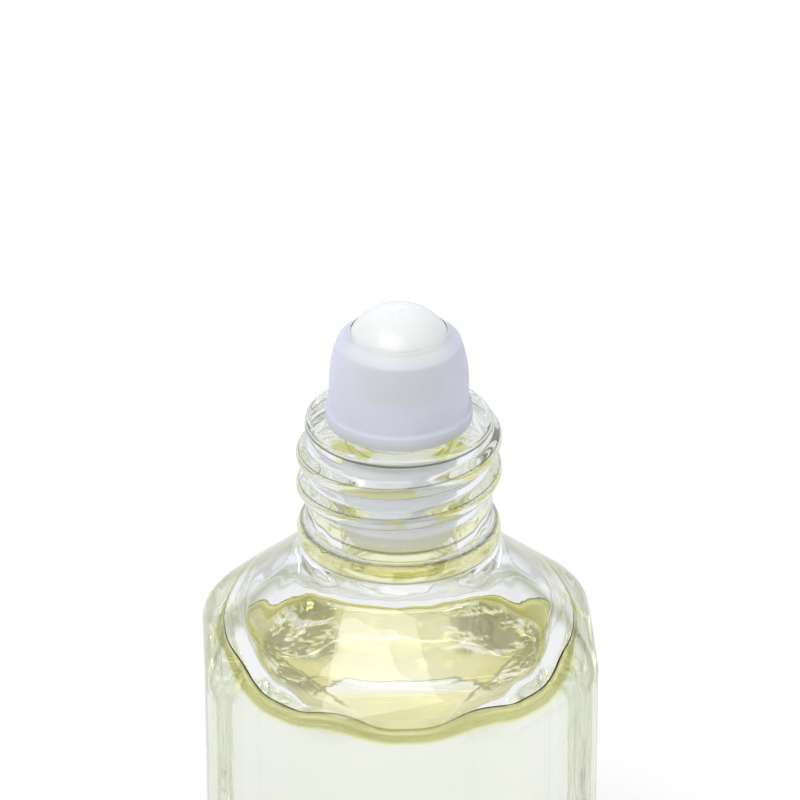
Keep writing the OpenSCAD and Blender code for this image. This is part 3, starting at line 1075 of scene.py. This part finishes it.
@dataclass(frozen=True)
class GlassBottle:
    """The moulded glass: body, shoulder, screw neck, bore and the hollow for the oil."""

    half: float = 14.15
    corner: float = 4.0
    wall_h: float = 29.0
    heel: float = 1.5
    shoulder: float = 3.8
    slope: float = math.radians(48.8)
    fillet: float = 2.9
    in_half: float = 11.2
    in_corner: float = 9.0
    base_t: float = 3.0
    in_heel: float = 3.0
    in_shoulder: float = 3.0
    in_slope: float = math.radians(52.0)
    in_rise: float = 0.4
    throat: float = 2.0
    dish_h: float = 0.5
    dish_r: float = 9.0
    dish_in: float = 0.5
    floor_in: float = 0.6
    neck: float = 6.7
    foot: float = 7.15
    bead: float = 7.3
    bead_h: float = 1.5
    bead_power: float = 0.65
    foot_power: float = 0.5
    finish_h: float = 8.9
    rim_round: float = 0.4
    bore: float = 4.1
    mouth: float = 0.35
    thread: float = 7.35
    pitch: float = 2.48
    turns: float = 2.0
    thread_half: float = 0.95
    thread_start: float = 2.95
    thread_fade: float = 0.1
    thread_thin: float = 0.4
    thread_power: float = 0.6
    wave_h: float = 0.015
    wave_fade: float = 3.0
    in_wave_h: float = 0.05
    in_wave_fade: float = 2.0
    in_wave_top: float = 38.5
    in_wave_seed: float = 2.0
    flat_steps: int = 20
    corner_steps: int = 16
    neck_step: float = 0.085
    rim_step: float = 0.02
    dish_steps: int = 9
    heel_steps: int = 10
    arc_steps: int = 14
    cone_steps: int = 16
    fillet_steps: int = 12
    rim_steps: int = 8
    mouth_steps: int = 6
    throat_steps: int = 12
    in_heel_steps: int = 12
    floor_steps: int = 6

    @property
    def angle(self) -> np.ndarray:
        """Angles of the columns."""
        return column_angles(self.half, self.corner, self.flat_steps, self.corner_steps)

    @property
    def arc_end(self) -> tuple[float, float]:
        """Half width and height where the shoulder's arc ends."""
        return (self.half - self.shoulder * (1 - math.cos(self.slope)),
                self.wall_h + self.shoulder * math.sin(self.slope))

    @property
    def cone_top(self) -> tuple[float, float]:
        """Radius and height where the shoulder meets the hollow curve."""
        r = self.foot + self.fillet * (1 - math.cos(self.slope))
        return r, self.arc_end[1] + (self.arc_end[0] - r) / math.tan(self.slope)

    @property
    def foot_z(self) -> float:
        """Height of the neck's foot."""
        return self.cone_top[1] + self.fillet * math.sin(self.slope)

    @property
    def bead_z(self) -> float:
        """Height of the middle of the bead."""
        return self.foot_z + self.bead_h / 2

    @property
    def rim_z(self) -> float:
        """Height of the rim."""
        return self.bead_z + self.finish_h

    @property
    def in_arc(self) -> tuple[float, float]:
        """Half width and height where the hollow's arc ends."""
        return (self.in_half - self.in_shoulder * (1 - math.cos(self.in_slope)),
                self.wall_h + self.in_rise + self.in_shoulder * math.sin(self.in_slope))

    @property
    def throat_low(self) -> tuple[float, float]:
        """Radius and height where the hollow's cone meets the throat."""
        r = self.bore + self.throat * (1 - math.cos(self.in_slope))
        return r, self.in_arc[1] + (self.in_arc[0] - r) / math.tan(self.in_slope)

    def base_rows(self) -> Rows:
        """Hollow under the base, z = h - (R - sqrt(R^2 - r^2)), the ring it stands on, the heel.

        Returns:
            The rows, from the axis out and up to the wall.
        """
        ball = (self.dish_r ** 2 + self.dish_h ** 2) / (2 * self.dish_h)
        r = np.linspace(self.dish_in, self.dish_r, self.dish_steps + 1)
        dish = Rows.make(r, self.dish_h - ball + np.sqrt(ball ** 2 - r ** 2), 1.0, self.corner)
        heel = Rows.arc(self.half - self.heel, self.heel, self.heel, -QUARTER, 0, self.heel_steps,
                        0.0, self.corner)
        return Rows.join(dish, heel)

    def shoulder_rows(self, half: float, corner: float, z: float, arc: float, slope: float,
                      top: tuple[float, float]) -> Rows:
        """Rows of a shoulder: an arc off the wall, then a cone.

        The share of roundness is the square root of the inset over the inset at the top, so
        the octagon turns into a circle steadily round the arc.

        Args:
            half: Half width of the wall.
            corner: Corner radius of the wall.
            z: Height at which the arc starts.
            arc: Radius of the arc.
            slope: Lean of the cone from upright.
            top: Radius and height at the top of the cone.

        Returns:
            The rows, from the wall up.
        """
        t = np.linspace(0, slope, self.arc_steps + 1)
        step = np.linspace(0, 1, self.cone_steps + 1)[1:]
        arc_half = half - arc * (1 - math.cos(slope))
        arc_z = z + arc * math.sin(slope)
        h = np.concatenate([half - arc * (1 - np.cos(t)), arc_half + (top[0] - arc_half) * step])
        heights = np.concatenate([z + arc * np.sin(t), arc_z + (top[1] - arc_z) * step])
        share = np.sqrt(np.clip((half - h) / (half - top[0]), 0, 1))
        return Rows.make(h, heights, share, corner)

    def neck_rows(self) -> Rows:
        """Hollow curve, foot, bead and neck: the bead is r0 + (b - r0)(1 - u^2)^p about its middle.

        Returns:
            The rows, from the shoulder up to the rim.
        """
        curve = Rows.arc(self.foot + self.fillet, self.foot_z, self.fillet,
                         math.pi + self.slope, math.pi, self.fillet_steps)
        rim_start = self.rim_z - self.rim_round
        z = np.linspace(self.foot_z, rim_start, int((rim_start - self.foot_z) / self.neck_step))
        u = np.clip((z - self.bead_z) / (self.bead_h / 2), -1, 1)
        plain = np.where(z < self.bead_z, self.foot, self.neck)
        power = np.where(z < self.bead_z, self.foot_power, self.bead_power)
        neck = Rows.make(plain + (self.bead - plain) * (1 - u ** 2) ** power, z)
        rim = Rows.arc(self.neck - self.rim_round, rim_start, self.rim_round, 0, QUARTER, self.rim_steps)
        return Rows.join(curve, neck, rim)

    def bore_rows(self) -> Rows:
        """Mouth, straight bore and the throat that opens into the hollow.

        Returns:
            The rows, from the rim down.
        """
        mouth = Rows.arc(self.bore + self.mouth, self.rim_z - self.mouth, self.mouth,
                         QUARTER, math.pi, self.mouth_steps)
        throat_z = self.throat_low[1] + self.throat * math.sin(self.in_slope)
        throat = Rows.arc(self.bore + self.throat, throat_z, self.throat,
                          math.pi, math.pi + self.in_slope, self.throat_steps)
        return Rows.join(mouth, throat)

    def hollow_rows(self) -> Rows:
        """Inner shoulder, inner wall and inner floor.

        Returns:
            The rows, from the throat down.
        """
        shoulder = self.shoulder_rows(self.in_half, self.in_corner, self.wall_h + self.in_rise,
                                      self.in_shoulder, self.in_slope, self.throat_low)
        turned = Rows(shoulder.half[::-1], shoulder.z[::-1], shoulder.share[::-1], shoulder.corner[::-1])
        heel = Rows.arc(self.in_half - self.in_heel, self.base_t + self.in_heel, self.in_heel,
                        0, -QUARTER, self.in_heel_steps, 0.0, self.in_corner)
        r = np.linspace(self.in_half - self.in_heel, self.floor_in, self.floor_steps + 1)[1:]
        share = np.linspace(0, 1, self.floor_steps + 1)[1:]
        floor = Rows.make(r, self.base_t, share, self.in_corner)
        return Rows.join(turned, heel, floor)

    def thread_relief(self, rows: Rows) -> np.ndarray:
        """Height of the screw thread over the neck for each ring and column.

        The ridge's middle climbs by one pitch a turn, z = z0 + pitch t, from the back of the
        neck. Across it the height is (crest - neck)((1 + cos(pi u)) / 2)^p, and it fades in and out
        at its ends.

        Args:
            rows: The neck's rings.

        Returns:
            Extra radius for each ring and column.
        """
        first = ((self.angle - math.pi) / (2 * math.pi)) % 1.0
        relief = np.zeros((len(rows.z), len(first)))
        for lap in range(int(math.ceil(self.turns)) + 1):
            t = first[None, :] + lap
            fade = np.clip(np.minimum(t, self.turns - t) / self.thread_fade, 0, 1)
            fade = fade * fade * (3 - 2 * fade)
            middle = self.bead_z + self.thread_start + self.pitch * t
            half = self.thread_half * (self.thread_thin + (1 - self.thread_thin) * fade)
            u = np.clip((rows.z[:, None] - middle) / half, -1, 1)
            ridge = (self.thread - self.neck) * fade * ((1 + np.cos(math.pi * u)) / 2) ** self.thread_power
            relief = np.maximum(relief, ridge)
        return relief

    def build(self, material: bpy.types.Material) -> None:
        """Builds the whole glass as one closed skin, with its waves and its thread.

        The attribute "ridge" is the thread's relief as a share of its full height.

        Args:
            material: The finish of the glass.
        """
        shoulder = self.shoulder_rows(self.half, self.corner, self.wall_h, self.shoulder, self.slope,
                                      self.cone_top)
        outside = Rows.join(self.base_rows(), shoulder).guarded()
        neck = self.neck_rows()
        rim = Rows.make(np.array([self.neck - self.rim_round - self.rim_step,
                                  self.bore + self.mouth + self.rim_step]), self.rim_z)
        inside = Rows.join(self.bore_rows(), self.hollow_rows()).guarded()
        out_fade = np.clip((outside.z - self.wall_h) / self.wave_fade, 0, 1)
        out_waves = out_fade[:, None] * waves(self.angle, outside.z, self.wave_h, 0.0)
        in_fade = (np.clip((inside.z - self.wall_h) / self.in_wave_fade, 0, 1)
                   * np.clip((self.in_wave_top - inside.z) / self.in_wave_fade, 0, 1))
        in_waves = in_fade[:, None] * waves(self.angle, inside.z, self.in_wave_h, self.in_wave_seed)
        relief = self.thread_relief(neck)
        points = np.concatenate([
            ring_points(outside, self.angle, out_waves),
            ring_points(neck, self.angle, relief)[1:],
            ring_points(rim, self.angle),
            ring_points(inside, self.angle, in_waves),
        ])
        piece = skin("glass_body", points, self.dish_h, self.base_t)
        ridge = np.zeros(len(piece.data.vertices))
        first = outside.z.size * self.angle.size
        ridge[first:first + relief[1:].size] = relief[1:].ravel() / (self.thread - self.neck)
        carry(piece, "ridge", ridge)
        settle(piece, Body.BOTTLE, material, "glass_bottle")


@dataclass(frozen=True)
class OilFill:
    """The oil, which fills the hollow up to its surface and climbs the glass a little."""

    bottle: GlassBottle
    level: float = 27.5
    climb: float = 1.4
    climb_w: float = 2.4
    climb_power: float = 3.5
    corner_climb: float = 0.45
    corner_power: float = 1.8
    sink: float = 0.02
    wall_steps: int = 16
    edge_steps: int = 18
    top_steps: int = 8

    def build(self, material: bpy.types.Material) -> None:
        """Builds the oil, whose edge climbs the glass and climbs it further in the corners.

        Above the level the height is level + w (climb + corner_climb ((1 - cos(8 a)) / 2)^k), with w
        rising from 0 to 1 up the wall and falling as (1 - s)^p over the width of the edge. The
        attribute "edge_path" runs along with it: 0 up to the level, 1 where oil, glass and air
        meet, and 2 from where the surface is flat.

        Args:
            material: The finish of the oil.
        """
        b = self.bottle
        half, low_z = b.in_half + self.sink, b.base_t - self.sink
        r = np.linspace(b.floor_in, half - b.in_heel, b.floor_steps + 1)[:-1]
        floor = Rows.make(r, low_z, np.linspace(1, 0, b.floor_steps + 1)[:-1], b.in_corner)
        heel = Rows.arc(half - b.in_heel, low_z + b.in_heel, b.in_heel, -QUARTER, 0, b.in_heel_steps,
                        0.0, b.in_corner)
        below = Rows.join(floor, heel, Rows.make(half, self.level, 0.0, b.in_corner)).guarded()
        q = np.linspace(0, 1, self.wall_steps + 1)[1:]
        wall = Rows.make(np.full(q.shape, half), self.level + self.climb * q, 0.0, b.in_corner)
        s = np.linspace(0, 1, self.edge_steps + 1)[1:]
        fall = (1 - s) ** self.climb_power
        edge = Rows.make(half - self.climb_w * s, self.level + self.climb * fall, 0.0, b.in_corner)
        r = np.linspace(half - self.climb_w, b.floor_in, self.top_steps + 1)[1:]
        top = Rows.make(r, self.level, np.linspace(0, 1, self.top_steps + 1)[1:], b.in_corner)
        weight = np.concatenate([np.zeros(below.z.size), q, fall, np.zeros(r.size)])
        path = np.concatenate([np.zeros(below.z.size), q, 1 + s, np.full(r.size, 2.0)])
        points = np.concatenate([ring_points(part, b.angle) for part in (below, wall, edge, top)])
        lobes = self.corner_climb * ((1 - np.cos(SIDES * b.angle)) / 2) ** self.corner_power
        points[:, :, 2] += weight[:, None] * lobes[None, :]
        piece = skin("oil", points, low_z, self.level)
        carry(piece, "edge_path", np.concatenate([np.repeat(path, b.angle.size), [0.0, 2.0]]))
        settle(piece, Body.BOTTLE, material, "oil_fill")


@dataclass(frozen=True)
class RollerHousing:
    """The pressed-in housing: plug with sealing rings, flange, cup, lip, socket and feed web."""

    rim_z: float
    ball_z: float
    ball_r: float = 4.0
    gap: float = 0.06
    grip_h: float = 1.62
    flange_r: float = 5.23
    flange_t: float = 1.1
    flange_gap: float = 0.02
    cup_r: float = 4.97
    lip_r: float = 4.38
    straight_h: float = 2.6
    curve: float = 2.3
    lip_round: float = 0.28
    lip_edge: float = 0.03
    lip_climb: float = 0.3
    lip_power: float = 1.5
    root_r: float = 0.16
    plug_len: float = 8.9
    plug_r: float = 3.88
    ring_r: float = 4.07
    ring_power: float = 0.8
    rings: int = 3
    ring_h: float = 0.9
    lead_r: float = 0.08
    lead_h: float = 0.12
    passage: float = 2.95
    web_t: float = 0.9
    web_sink: float = 0.05
    feed_r: float = 0.9
    feed_count: int = 6
    feed_small_r: float = 0.45
    feed_ring_r: float = 2.0
    edge_r: float = 0.12
    merge: float = 0.0001
    ring_steps: int = 12
    round_steps: int = 5
    wall_steps: int = 24
    socket_steps: int = 29
    cell_columns: int = 24
    cell_bands: int = 4

    @property
    def lip_top(self) -> float:
        """Height over the ball's middle at which the lip ends in a thin edge on the ball."""
        return self.grip_h + self.lip_round + self.lip_climb

    @property
    def web_z(self) -> float:
        """Height of the underside of the web."""
        return self.ball_z - self.ball_r - self.gap - self.web_t

    @property
    def web_r(self) -> float:
        """Radius of the web, which runs a little way into the passage's wall."""
        return self.passage + self.web_sink

    def plug_rows(self) -> Rows:
        """Plug outside: its lead-in, then r + (ring - r) sin(t)^p over each sealing ring.

        Returns:
            The rows, from the plug's end up to the flange.
        """
        low = self.rim_z - self.plug_len
        lead = self.plug_r - self.passage
        start = Rows.make(np.array([self.passage + lead / 2, self.plug_r - self.lead_r, self.plug_r]),
                          np.array([low, low + lead - self.lead_h, low + lead]))
        spacing = (self.plug_len - 2 * self.ring_h) / self.rings
        t = np.linspace(0, math.pi, self.ring_steps + 1)
        bulge = self.plug_r + (self.ring_r - self.plug_r) * np.sin(t) ** self.ring_power
        middles = low + self.ring_h + spacing * (np.arange(self.rings) + 0.5)
        rings = [Rows.make(bulge, middle - self.ring_h / 2 * np.cos(t)) for middle in middles]
        return Rows.join(start, *rings, Rows.make(self.plug_r, self.rim_z + self.flange_gap))

    def cup_rows(self) -> Rows:
        """Flange and cup outside: r = cup - (cup - lip) s^c, then a lip that thins out on the ball.

        Returns:
            The rows, from the flange up.
        """
        low = self.rim_z + self.flange_gap
        top = self.rim_z + self.flange_t
        e, steps = self.edge_r, self.round_steps
        foot = Rows.arc(self.flange_r - e, low + e, e, -QUARTER, 0, steps)
        step = Rows.arc(self.flange_r - e, top - e, e, 0, QUARTER, steps)
        root = Rows.arc(self.cup_r + self.root_r, top + self.root_r, self.root_r, -QUARTER, -math.pi, steps)
        s = np.linspace(0, 1, self.wall_steps + 1)
        straight = self.rim_z + self.straight_h
        lip_z = self.ball_z + self.grip_h - self.lip_round
        wall = Rows.make(self.cup_r - (self.cup_r - self.lip_r) * s ** self.curve,
                         straight + (lip_z - straight) * s)
        ball = self.ball_r + self.gap + self.lip_edge
        start = math.atan2(lip_z - self.ball_z, self.lip_r)
        turn = start + (math.asin(self.lip_top / ball) - start) * s
        away = ball + (math.hypot(self.lip_r, lip_z - self.ball_z) - ball) * (1 - s) ** self.lip_power
        lip = Rows.make(away * np.cos(turn), self.ball_z + away * np.sin(turn))
        return Rows.join(foot, step, root, wall, lip)

    def socket_rows(self) -> Rows:
        """Socket sphere r = sqrt(R^2 - h^2) from the lip's thin edge, and the step to the passage.

        Returns:
            The rows, from the lip down to the plug's end.
        """
        ball = self.ball_r + self.gap
        sphere = Rows.arc(0.0, self.ball_z, ball, math.asin((self.lip_top - self.lip_edge) / ball),
                          -math.acos(self.passage / ball), self.socket_steps)
        bottom = Rows.make(np.array([self.passage, self.passage]),
                           np.array([self.web_z, self.rim_z - self.plug_len]))
        return Rows.join(sphere, bottom)

    def web_outline(self, turn: np.ndarray) -> tuple[np.ndarray, np.ndarray]:
        """Way from a small hole's middle to its cell's outline, along each direction.

        The outline is the nearest of the cell's two sides, the middle hole and the web's edge.

        Args:
            turn: Directions in radians, 0 away from the axis.

        Returns:
            The way for each direction, and whether it ends on the middle hole or the edge.
        """
        half, c = math.pi / self.feed_count, self.feed_ring_r
        across = (c * np.sin(turn)) ** 2
        edge = -c * np.cos(turn) + np.sqrt(self.web_r ** 2 - across)
        hole = -c * np.cos(turn) - np.sqrt(np.maximum(self.feed_r ** 2 - across, 0))
        hole = np.where((across <= self.feed_r ** 2) & (np.cos(turn) < 0), hole, np.inf)
        lean = np.abs(turn) - half
        side = np.where(lean > TINY, c * math.sin(half) / np.maximum(np.sin(lean), TINY), np.inf)
        arc = np.minimum(edge, hole)
        return np.minimum(arc, side), arc <= side + TINY

    def web_cell(self) -> tuple[np.ndarray, np.ndarray]:
        """One cell of the web, round one small hole.

        P = C + (a + (s - a) f) D runs from the hole's circle of radius a to the cell's outline at
        s as f goes from 0 to 1, with C the hole's middle and D the direction. The topside lies
        on the socket's sphere.

        Returns:
            The cell's vertices, and its faces as rows of four vertex numbers.
        """
        half, c, a = math.pi / self.feed_count, self.feed_ring_r, self.feed_small_r
        ends = [math.atan2(r * math.sin(half), r * math.cos(half) - c) for r in (self.web_r, self.feed_r)]
        turn = np.unique(np.concatenate([np.linspace(0, math.pi, self.cell_columns + 1), ends]))
        turn = np.concatenate([-turn[-2:0:-1], turn])
        reach, on_arc = self.web_outline(turn)
        way = a + (reach - a) * np.linspace(0, 1, self.cell_bands + 1)[:, None]
        x, y = c + way * np.cos(turn), way * np.sin(turn)
        top = self.ball_z - np.sqrt((self.ball_r + self.gap) ** 2 - x ** 2 - y ** 2)
        cell = np.stack([np.concatenate([x[::-1], x]), np.concatenate([y[::-1], y]),
                         np.concatenate([top[::-1], np.full(x.shape, self.web_z)])], axis=2)
        index = np.arange(cell[:, :, 0].size).reshape(cell.shape[:2])
        after = np.roll(index, -1, 0)
        quads = np.stack([index, np.roll(index, -1, 1), np.roll(after, -1, 1), after], axis=2)
        keep = np.ones(index.shape, dtype=bool)
        keep[-1] = on_arc & np.roll(on_arc, -1)
        return cell.reshape(-1, 3), quads[keep]

    def web(self) -> bpy.types.Object:
        """Web under the ball, with its middle feed hole and the ring of small ones.

        It is made of equal cells, one round each small hole, turned about the axis and merged.

        Returns:
            The new object, at the origin.
        """
        cell, quads = self.web_cell()
        turned = []
        for t in 2 * math.pi / self.feed_count * np.arange(self.feed_count):
            ahead, aside = math.cos(t), math.sin(t)
            turned.append(cell @ np.array([[ahead, aside, 0], [-aside, ahead, 0], [0, 0, 1]]))
        faces = np.concatenate([quads + len(cell) * number for number in range(self.feed_count)])
        piece = make_piece("roller_web", np.concatenate(turned), faces.tolist())
        shape = bmesh.new()
        shape.from_mesh(piece.data)
        bmesh.ops.remove_doubles(shape, verts=shape.verts, dist=self.merge * MM)
        shape.to_mesh(piece.data)
        shape.free()
        return piece

    def build(self, material: bpy.types.Material) -> None:
        """Builds the shell and the web.

        Args:
            material: The finish of both.
        """
        rows = Rows.join(self.plug_rows(), self.cup_rows(), self.socket_rows()).guarded()
        shell = skin("roller_cup", ring_points(rows, ROUND_ANGLES), closed=True)
        settle(shell, Body.HOUSING, material, "roller_housing")
        settle(self.web(), Body.HOUSING, material)


@dataclass(frozen=True)
class RollerBall:
    """The rolling ball, with the faint ridge that its mould leaves round the middle."""

    ball_z: float
    ball_r: float = 4.0
    seam_h: float = 0.004
    seam_w: float = 0.06
    steps: int = 129

    def build(self, material: bpy.types.Material) -> None:
        """Builds the ball: r = R - h + h exp(-(d / w)^2), with d the way from its middle line.

        Args:
            material: The finish of the ball.
        """
        t = np.linspace(-QUARTER, QUARTER, self.steps + 1)[1:-1]
        ridge = self.seam_h * np.exp(-(t * self.ball_r / self.seam_w) ** 2)
        plain = self.ball_r - self.seam_h
        rows = Rows.make((plain + ridge) * np.cos(t), self.ball_z + (plain + ridge) * np.sin(t))
        piece = skin("rolling_ball", ring_points(rows, ROUND_ANGLES),
                     self.ball_z - plain, self.ball_z + plain)
        settle(piece, Body.BALL, material, "roller_ball")


# Studio


@dataclass(frozen=True)
class Studio:
    """Pale floor, soft surroundings, two soft lamps and the camera of the photograph.

    The camera's sizes are in millimetres and pixels, and all others are in metres. What glass
    mirrors or bends has colours of its own, and a span gives where one fades into the next.
    """

    elevation: float = math.radians(29.5)
    azimuth: float = math.radians(-3.0)
    distance: float = 430.0
    focal_px: float = 6000.0
    frame_px: float = 800.0
    axis_px: tuple[float, float] = (399.0, 524.0)
    sensor: float = 36.0
    clip: Span = (0.02, 20.0)
    sky: Colour = (0.80, 0.83, 0.94, 1.0)
    room: Colour = (0.34, 0.35, 0.33, 1.0)
    glass_sky: Colour = (0.88, 0.91, 1.0, 1.0)
    glass_side: Colour = (0.25, 0.25, 0.20, 1.0)
    glass_slit: Colour = (0.60, 0.60, 0.60, 1.0)
    room_span: Span = (0.05, 0.25)
    room_top: Span = (0.6, 0.75)
    side_span: Span = (0.55, 0.75)
    slit_span: Span = (0.03, 0.05)
    top_span: Span = (0.75, 0.9)
    floor_half: float = 1.5
    floor_camera: Colour = (0.20, 0.18, 0.12, 1.0)
    # painted pool of light that rays other than the camera's see on the floor round the bottle
    painted_pool_near: Colour = (0.52, 0.52, 0.52, 1.0)
    painted_pool_far: Colour = (0.40, 0.40, 0.38, 1.0)
    floor_span: Span = (0.10, 0.34)
    floor_white: float = 0.86
    floor_glass_white: float = 0.4
    front_power: float = 3.0
    front_size: tuple[float, float] = (0.7, 0.5)
    front_place: Triple = (-0.25, -0.35, 0.75)
    back_power: float = 0.06
    back_size: tuple[float, float] = (0.3, 0.02)
    back_place: Triple = (-0.05, 0.5, 0.307)
    bounces: int = 64
    volume_bounces: int = 2

    def camera(self, axis_z: float) -> None:
        """Places the camera so that the axis at axis_z lands on its pixel of the photograph.

        Args:
            axis_z: Height in mm of the middle of the bead.
        """
        e, a = self.elevation, self.azimuth
        back = Vector((math.sin(a) * math.cos(e), -math.cos(a) * math.cos(e), math.sin(e)))
        right = Vector((math.cos(a), math.sin(a), 0.0))
        up = back.cross(right)
        scale = self.focal_px / self.distance
        centre = self.frame_px / 2
        target = (Vector((0, 0, axis_z)) + right * ((centre - self.axis_px[0]) / scale)
                  + up * ((self.axis_px[1] - centre) / scale))
        data = bpy.data.cameras.new("photo_camera")
        data.sensor_width = self.sensor
        data.lens = self.sensor * self.focal_px / self.frame_px
        data.clip_start, data.clip_end = self.clip
        camera = bpy.data.objects.new("photo_camera", data)
        bpy.context.scene.collection.objects.link(camera)
        camera.location = (target + back * self.distance) * MM
        camera.rotation_mode = "QUATERNION"
        camera.rotation_quaternion = back.to_track_quat("Z", "Y")
        bpy.context.scene.camera = camera

    def floor(self) -> None:
        """Lays the pale floor, which glows a little so that it reads as white; other rays than the camera's
        see it darker, with a painted pool of light round the bottle.
        """
        h = self.floor_half
        mesh = bpy.data.meshes.new("floor")
        mesh.from_pydata([(-h, -h, 0), (h, -h, 0), (h, h, 0), (-h, h, 0)], [], [(0, 1, 2, 3)])
        floor = bpy.data.objects.new("floor", mesh)
        bpy.context.scene.collection.objects.link(floor)
        finish = Finish("pale_floor")
        board = finish.board
        finish.set(Roughness=0.9, Emission_Strength=1.0)
        camera = board.add("ShaderNodeLightPath").outputs["Is Camera Ray"]
        distance = board.add("ShaderNodeVectorMath", operation="LENGTH")
        board.join(finish.place, distance.inputs[0])
        # painted pool of light, brighter near the bottle, for rays other than the camera's
        pool = board.mix(board.ramp(distance.outputs["Value"], *self.floor_span),
                         self.painted_pool_near, self.painted_pool_far)
        finish.feed(board.mix(camera, pool, self.floor_camera), "Emission Color")
        # painted shade: rays other than the camera's see a darker floor
        grey = board.ramp(camera, 0.0, 1.0, self.floor_glass_white, self.floor_white)
        finish.feed(grey, "Base Color")
        mesh.materials.append(finish.material)

    def world(self) -> None:
        """Soft white surroundings, dimmer on the side where the camera and the room are."""
        world = bpy.data.worlds.new("studio")
        world.use_nodes = True
        bpy.context.scene.world = world
        board = Board(world.node_tree)
        background = world.node_tree.nodes["Background"]
        place = board.add("ShaderNodeTexCoord").outputs["Generated"]
        parts = board.add("ShaderNodeSeparateXYZ")
        board.join(place, parts.inputs[0])
        x, y, z = parts.outputs
        shade = board.times(board.ramp(board.times(y, -1.0), *self.room_span),
                            board.fall(z, *self.room_top))
        side = board.ramp(board.math("ABSOLUTE", x), *self.side_span)
        seen = board.mix(side, self.glass_sky, self.glass_side)
        seen = board.mix(board.fall(z, *self.slit_span), seen, self.glass_slit)
        seen = board.mix(shade, seen, self.room)
        seen = board.mix(board.ramp(z, *self.top_span), seen, WHITE)
        rays = board.add("ShaderNodeLightPath")
        glass = board.math("MAXIMUM", rays.outputs["Is Glossy Ray"], rays.outputs["Is Transmission Ray"])
        colour = board.mix(glass, board.mix(shade, self.sky, self.room), seen)
        colour = board.mix(rays.outputs["Is Camera Ray"], colour, WHITE)
        board.join(colour, background.inputs["Color"])
        background.inputs["Strength"].default_value = 1.0

    @staticmethod
    def lamp(name: str, power: float, size: tuple[float, float], place: Triple) -> None:
        """Hangs one soft lamp that looks at the origin.

        Args:
            name: Name of the lamp.
            power: Power in watts.
            size: Width and height in metres.
            place: Where it hangs, in metres.
        """
        data = bpy.data.lights.new(name, "AREA")
        data.shape = "RECTANGLE"
        data.size, data.size_y = size
        data.energy = power
        lamp = bpy.data.objects.new(name, data)
        lamp.location = place
        lamp.rotation_mode = "QUATERNION"
        lamp.rotation_quaternion = Vector(place).to_track_quat("Z", "Y")
        bpy.context.scene.collection.objects.link(lamp)

    def lamps(self) -> None:
        """Hangs a broad lamp above the front and a thin one behind the bottle."""
        self.lamp("soft_lamp", self.front_power, self.front_size, self.front_place)
        self.lamp("back_lamp", self.back_power, self.back_size, self.back_place)

    def render_settings(self) -> None:
        """Lets light pass through many glass surfaces and keeps colours plain."""
        scene = bpy.context.scene
        scene.view_settings.view_transform = "Standard"
        scene.cycles.max_bounces = self.bounces
        scene.cycles.transmission_bounces = self.bounces
        scene.cycles.glossy_bounces = self.bounces
        scene.cycles.volume_bounces = self.volume_bounces
        scene.cycles.blur_glossy = 0.0
        scene.cycles.caustics_reflective = True
        scene.cycles.caustics_refractive = True


def main() -> None:
    """Builds the bottle, its contents, the roller and the studio."""
    logging.basicConfig(level=logging.INFO, format="%(name)s: %(message)s")
    effects = Effects()
    bottle = GlassBottle()
    ball_z = bottle.rim_z + BALL_RISE
    bottle.build(ClearGlass().make(effects))
    OilFill(bottle).build(PaleOil().make(effects))
    RollerHousing(bottle.rim_z, ball_z).build(HousingPlastic().make(effects))
    RollerBall(ball_z).build(BallPlastic().make(effects))
    studio = Studio()
    studio.camera(bottle.bead_z)
    studio.floor()
    studio.world()
    studio.lamps()
    studio.render_settings()


if __name__ == "__main__":
    main()
